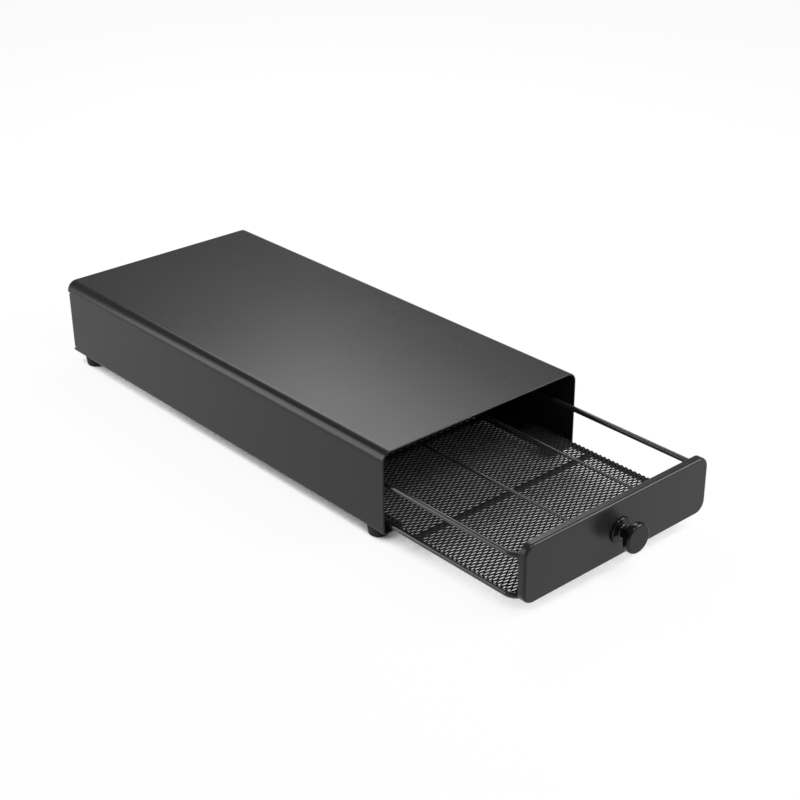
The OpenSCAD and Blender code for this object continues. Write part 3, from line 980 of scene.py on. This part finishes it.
@dataclass
class Basket:
    """Welded wire: two closed frames, rear loop, floor wires and dividers, each with its weld beads."""

    workshop: Workshop
    wire: float = 3.7 * MM
    divider: float = 2.0 * MM
    corner_r: float = 8.0 * MM
    loop_corner_r: float = 6.0 * MM
    corner_steps: int = 12
    floor_wires: int = 3
    frame_bead: HalfLengths = (3.5 * MM, 0.6 * MM, 1.2 * MM)
    loop_bead: HalfLengths = (2.0 * MM, 1.0 * MM, 2.0 * MM)
    floor_bead: HalfLengths = (0.6 * MM, 2.2 * MM, 1.5 * MM)
    divider_bead: HalfLengths = (1.5 * MM, 0.6 * MM, 1.1 * MM)

    def build(self) -> None:
        """Bends and welds every wire."""
        self._frame("lower_frame", "lower_wire_frame")
        self._frame("upper_frame", "upper_wire_frame")
        self._rear_loop()
        self._floor_wires()
        for side in ("left", "right"):
            self._divider(side)

    def _frame(self, node: str, name: str) -> None:
        """Bends one closed frame that lies flat and welds it to the brackets.

        Args:
            node: The CAD node that it replaces.
            name: Its name.
        """
        low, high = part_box(node)
        r = self.wire / 2
        z = (low.z + high.z) / 2
        piece = rectangle(name, Vector((low.x + r, low.y + r, z)), Vector((high.x - r, high.y - r, z)))
        with editing(piece):
            bpy.ops.mesh.select_all(action="SELECT")
            bpy.ops.mesh.bevel(offset=self.corner_r, affect="VERTICES", segments=self.corner_steps)
            bpy.ops.mesh.select_all(action="SELECT")
            bpy.ops.mesh.delete(type="ONLY_FACE")
        as_wire(piece, self.wire)
        welds = []
        for side in ("left", "right"):
            foot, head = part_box(f"bracket_{side}")
            welds.append(weld(Vector(((foot.x + head.x) / 2, low.y, z)), self.frame_bead))
        self.workshop.dress(joined(name, [piece, *welds]), Body.DRAWER, Slot.WIRE, node)

    def _rear_loop(self) -> None:
        """Bends the upright loop behind the frames and welds it to both."""
        low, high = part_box("rear_loop")
        r = self.wire / 2
        y = (low.y + high.y) / 2
        corners = Vector((low.x + r, y, low.z)), Vector((high.x - r, y, high.z - r))
        piece = rectangle("rear_wire_loop", *corners)
        with editing(piece) as mesh:
            pick_points(mesh(), lambda p: near(p.z, high.z - r))
            bpy.ops.mesh.bevel(offset=self.loop_corner_r, affect="VERTICES", segments=self.corner_steps)
            bpy.ops.mesh.select_all(action="SELECT")
            bpy.ops.mesh.delete(type="ONLY_FACE")
            pick_edges(mesh(), lambda e: near(middle(e).z, low.z))
            bpy.ops.mesh.delete(type="EDGE")
        as_wire(piece, self.wire, capped=True)
        welds = []
        for node in ("lower_frame", "upper_frame"):
            under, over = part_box(node)
            for x in (low.x + r, high.x - r):
                welds.append(weld(Vector((x, low.y, (under.z + over.z) / 2)), self.loop_bead))
        self.workshop.dress(joined("rear_wire_loop", [piece, *welds]), Body.DRAWER, Slot.WIRE, "rear_loop")

    def _floor_wires(self) -> None:
        """Cuts the wires across the floor and welds their ends."""
        low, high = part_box("floor_wires")
        r = self.wire / 2
        z = (low.z + high.z) / 2
        pieces = []
        for i in range(self.floor_wires):
            y = low.y + r + (high.y - low.y - self.wire) * i / (self.floor_wires - 1)
            ends = Vector((low.x, y, z)), Vector((high.x, y, z))
            pieces.append(rod("floor_wire", *ends, self.wire))
            pieces.extend(weld(end, self.floor_bead) for end in ends)
        self.workshop.dress(joined("cross_wires", pieces), Body.DRAWER, Slot.WIRE, "floor_wires")

    def _divider(self, side: str) -> None:
        """Cuts one wire that parts two rows of capsules and welds its ends.

        Args:
            side: The side of the drawer that it is on.
        """
        low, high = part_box(f"divider_{side}")
        x, z = (low.x + high.x) / 2, (low.z + high.z) / 2
        ends = Vector((x, low.y, z)), Vector((x, high.y, z))
        wire = rod("divider_wire", *ends, self.divider)
        welds = [weld(end, self.divider_bead) for end in ends]
        piece = joined(f"divider_wire_{side}", [wire, *welds])
        self.workshop.dress(piece, Body.DRAWER, Slot.WIRE, f"divider_{side}")


@dataclass
class ExpandedFloor:
    """Expanded steel on the lower frame: rows of zigzag strands, bonded where they meet.

    Each strand is a flat ribbon, tilted by the die about its own run. It swings across the row by as much as
    brings its edge onto the edge of the strand beside it. A bond's length is a share of the long way.
    """

    workshop: Workshop
    long_way: float = 6.2 * MM
    short_way: float = 3.75 * MM
    strand_w: float = 0.95 * MM
    strand_t: float = 0.5 * MM
    tilt: float = math.radians(25)
    bond: float = 0.24
    spare: int = 2
    corner_r: float = 8.0 * MM
    corner_cuts: tuple[float, ...] = (22.5, 45.0, 67.5)

    def build(self) -> None:
        """Makes one length of strand, repeats it with some to spare and cuts the sheet to its outline."""
        low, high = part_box("mesh_floor")
        piece = self._strand()
        columns = math.ceil((high.x - low.x) / self.long_way) + self.spare
        pairs = math.ceil((high.y - low.y) / self.short_way) + self.spare
        self._repeat(piece, columns, Vector((self.long_way, 0, 0)), merged=True)
        self._repeat(piece, 2, Vector((self.long_way / 2, self.short_way / 2, 0)))
        self._repeat(piece, pairs, Vector((0, self.short_way, 0)))
        drop = self.strand_w * math.sin(self.tilt) + self.strand_t / 2 * math.cos(self.tilt)
        start = Vector((low.x - self.long_way, low.y - self.short_way, low.z + drop))
        piece.location = start
        settle(piece)
        self._cut(piece, low, high)
        self.workshop.dress(piece, Body.DRAWER, Slot.MESH, "mesh_floor")

    def _strand(self) -> Piece:
        """Extrudes one length of ribbon: bond, slope, bond, slope.

        Returns:
            The length, open at both ends.
        """
        half = Vector((self.long_way * self.bond, self.strand_w, self.strand_t)) / 2
        piece = block("expanded_floor", -half, half)
        sweep = self.short_way / 2 - self.strand_w * math.cos(self.tilt)
        lift = self.strand_w * math.sin(self.tilt)
        piece.rotation_euler = (self.tilt, 0, 0)
        piece.location = (0, sweep / 2, -lift / 2)
        settle(piece)
        slope = self.long_way * (0.5 - self.bond)
        flat = self.long_way * self.bond
        with editing(piece) as mesh:
            pick_faces(mesh(), lambda f: f.normal.x > PARALLEL)
            for step in ((slope, -sweep, lift), (flat, 0, 0), (slope, sweep, -lift)):
                bpy.ops.mesh.extrude_region_move(TRANSFORM_OT_translate={"value": step})
            pick_faces(mesh(), lambda f: abs(f.normal.x) > PARALLEL)
            bpy.ops.mesh.delete(type="ONLY_FACE")
        return piece

    def _repeat(self, piece: Piece, count: int, step: Vector, merged: bool = False) -> None:
        """Repeats a piece's mesh along a step.

        Args:
            piece: The piece.
            count: How many there are in the end.
            step: From each to the next.
            merged: Whether neighbours are merged where they touch.
        """
        apply(
            piece,
            "ARRAY",
            count=count,
            use_relative_offset=False,
            use_constant_offset=True,
            constant_offset_displace=step,
            use_merge_vertices=merged,
            merge_threshold=SAME,
        )

    def _cut(self, piece: Piece, low: Vector, high: Vector) -> None:
        """Cuts the sheet along the middle of the frame's wires and closes every cut strand.

        Args:
            piece: The repeated strands.
            low: The sheet's lowest corner.
            high: The sheet's highest corner.
        """
        cuts = [(low, -X), (low, -Y), (high, X), (high, Y)]
        for x, y, across, back in (
            (low.x, low.y, 1, 1),
            (high.x, low.y, -1, 1),
            (low.x, high.y, 1, -1),
            (high.x, high.y, -1, -1),
        ):
            centre = Vector((x + across * self.corner_r, y + back * self.corner_r, 0))
            for angle in map(math.radians, self.corner_cuts):
                outwards = Vector((-across * math.cos(angle), -back * math.sin(angle), 0))
                cuts.append((centre + outwards * self.corner_r, outwards))
        with editing(piece):
            for place, outwards in cuts:
                bpy.ops.mesh.select_all(action="SELECT")
                bpy.ops.mesh.bisect(plane_co=place, plane_no=outwards, clear_outer=True)
            bpy.ops.mesh.select_all(action="SELECT")
            bpy.ops.mesh.fill_holes(sides=0)
            bpy.ops.mesh.select_all(action="SELECT")
            bpy.ops.mesh.delete_loose()
            bpy.ops.mesh.select_all(action="SELECT")
            bpy.ops.mesh.normals_make_consistent(inside=False)


# ---- Studio ----


@dataclass(frozen=True)
class Lamp:
    """A rectangular lamp, aimed at a point.

    Its strength is the brightness of its face, where a white surface in plain light has 1.
    """

    name: str
    place: Vector
    aim: Vector
    size: tuple[float, float]
    brightness: float

    def build(self) -> None:
        """Hangs the lamp and hides it from the camera."""
        bpy.ops.object.light_add(type="AREA", location=self.place)
        lamp = bpy.context.object
        lamp.name = self.name
        lamp.rotation_euler = (self.aim - self.place).to_track_quat("-Z", "Y").to_euler()
        lamp.data.shape = "RECTANGLE"
        lamp.data.size, lamp.data.size_y = self.size
        lamp.data.energy = self.brightness * math.pi * self.size[0] * self.size[1]
        lamp.visible_camera = False


LAMPS = (
    Lamp("overhead_softbox", Vector((0.395, 0.505, 0.6)), Vector((0.395, 0.505, 0.0)), (0.47, 0.7), 4.6),
    Lamp("front_right_softbox", Vector((0.78, -0.85, 0.72)), Vector((0, -0.2, 0.05)), (0.7, 0.8), 8.5),
    Lamp("knob_key", Vector((-0.03, -0.69, 1.02)), Vector((0, -0.24, 0.03)), (0.36, 0.16), 24.0),
    Lamp("left_rear_softbox", Vector((-0.82, 0.66, 0.38)), Vector((-0.2, -0.1, 0.05)), (0.6, 0.7), 4.8),
)


@dataclass
class Studio:
    """Camera, lamps, dim surroundings and a white sweep.

    The paper's glow rises from `shaded_glow` to `paper_glow` as its openness within `shade_reach` rises
    through `shade_range`.
    """

    place: tuple[float, float, float] = (-0.6164, -0.7417, 0.5159)
    yaw: float = math.radians(41.19)
    pitch: float = math.radians(26.87)
    roll: float = math.radians(-0.518)
    lens_mm: float = 70.2
    sensor_mm: float = 36.0
    surroundings: float = 0.3
    sweep_r: float = 8.0
    sweep_h: float = 0.4
    sweep_sides: int = 96
    paper: str = "#e7e7e7"
    paper_glow: float = 0.93
    shaded_glow: float = 0.04
    shade_reach: float = 110.0 * MM
    shade_range: tuple[float, float] = (0.27, 0.4)
    shade_samples: int = 8

    def build(self) -> None:
        """Sets up everything that isn't the object."""
        self._camera()
        self._surroundings()
        self._sweep()
        for lamp in LAMPS:
            lamp.build()

    def _camera(self) -> None:
        """Places the camera, turned right by its yaw, down by its pitch and round its axis by its roll."""
        bpy.ops.object.camera_add()
        camera = bpy.context.object
        camera.matrix_world = (
            Matrix.Translation(self.place)
            @ Matrix.Rotation(-self.yaw, 4, "Z")
            @ Matrix.Rotation(math.pi / 2 - self.pitch, 4, "X")
            @ Matrix.Rotation(self.roll, 4, "Z")
        )
        camera.data.sensor_width = self.sensor_mm
        camera.data.lens = self.lens_mm
        bpy.context.scene.camera = camera

    def _surroundings(self) -> None:
        """Lights the room dimly and evenly and shows colours plainly."""
        world = bpy.data.worlds.new("studio")
        world.use_nodes = True
        world.node_tree.nodes.clear()
        light = add_node(world.node_tree, "ShaderNodeBackground", {"Strength": self.surroundings})
        add_node(world.node_tree, "ShaderNodeOutputWorld", {"Surface": light.outputs["Background"]})
        bpy.context.scene.world = world
        bpy.context.scene.view_settings.view_transform = "Standard"

    def _sweep(self) -> None:
        """Lays a round paper floor with a low upright rim."""
        bpy.ops.object.select_all(action="DESELECT")
        bpy.ops.mesh.primitive_circle_add(vertices=self.sweep_sides, radius=self.sweep_r, fill_type="NGON")
        sweep = named(bpy.context.object, "paper_sweep")
        with editing(sweep) as mesh:
            pick_edges(mesh(), lambda e: e.is_boundary)
            bpy.ops.mesh.extrude_edges_move(TRANSFORM_OT_translate={"value": (0, 0, self.sweep_h)})
            bpy.ops.mesh.select_all(action="SELECT")
            bpy.ops.mesh.normals_make_consistent(inside=False)
            floor = min(mesh().faces, key=lambda f: f.calc_center_median().z)
            if floor.normal.z < 0:
                bpy.ops.mesh.flip_normals()
        sweep.data.materials.append(self._paper())

    def _paper(self) -> bpy.types.Material:
        """Makes paper that looks white to the camera and in gloss, and is clear from behind.

        It keeps its shadows, and its glow fades where something stands close by.

        Returns:
            The material.
        """
        material = new_material("white_sweep_paper")
        tree = material.node_tree
        path = add_node(tree, "ShaderNodeLightPath").outputs
        bounced = add_node(
            tree,
            "ShaderNodeMath",
            {0: path["Is Glossy Ray"], 1: path["Is Transmission Ray"]},
            operation="MAXIMUM",
        )
        seen = add_node(
            tree, "ShaderNodeMath", {0: path["Is Camera Ray"], 1: bounced.outputs[0]}, operation="MAXIMUM"
        )
        reach = {"Distance": self.shade_reach}
        openness = add_node(tree, "ShaderNodeAmbientOcclusion", reach, samples=self.shade_samples)
        strength = add_node(
            tree,
            "ShaderNodeMapRange",
            {
                "Value": openness.outputs["AO"],
                "From Min": self.shade_range[0],
                "From Max": self.shade_range[1],
                "To Min": self.shaded_glow,
                "To Max": self.paper_glow,
            },
        )
        share = add_node(
            tree, "ShaderNodeMath", {0: seen.outputs[0], 1: strength.outputs["Result"]}, operation="MULTIPLY"
        )
        lit = add_node(tree, "ShaderNodeBsdfDiffuse", {"Color": linear(self.paper)})
        glow = add_node(tree, "ShaderNodeEmission", {"Strength": 1.0})
        front = add_node(
            tree, "ShaderNodeMixShader", {0: share.outputs[0], 1: lit.outputs[0], 2: glow.outputs[0]}
        )
        back = add_node(tree, "ShaderNodeBsdfTransparent")
        behind = add_node(tree, "ShaderNodeNewGeometry").outputs["Backfacing"]
        both = add_node(tree, "ShaderNodeMixShader", {0: behind, 1: front.outputs[0], 2: back.outputs[0]})
        add_node(tree, "ShaderNodeOutputMaterial", {"Surface": both.outputs[0]})
        return material


def main() -> None:
    """Builds the scene round the frame and reports each piece."""
    logging.basicConfig(level=logging.INFO, format="%(name)s: %(message)s")
    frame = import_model()
    Studio().build()
    workshop = Workshop(frame["nodes"], {slot: finish.material() for slot, finish in FINISHES.items()})
    for assembly in (Casing, Feet, Front, Basket, ExpandedFloor):
        assembly(workshop).build()


if __name__ == "__main__":
    main()
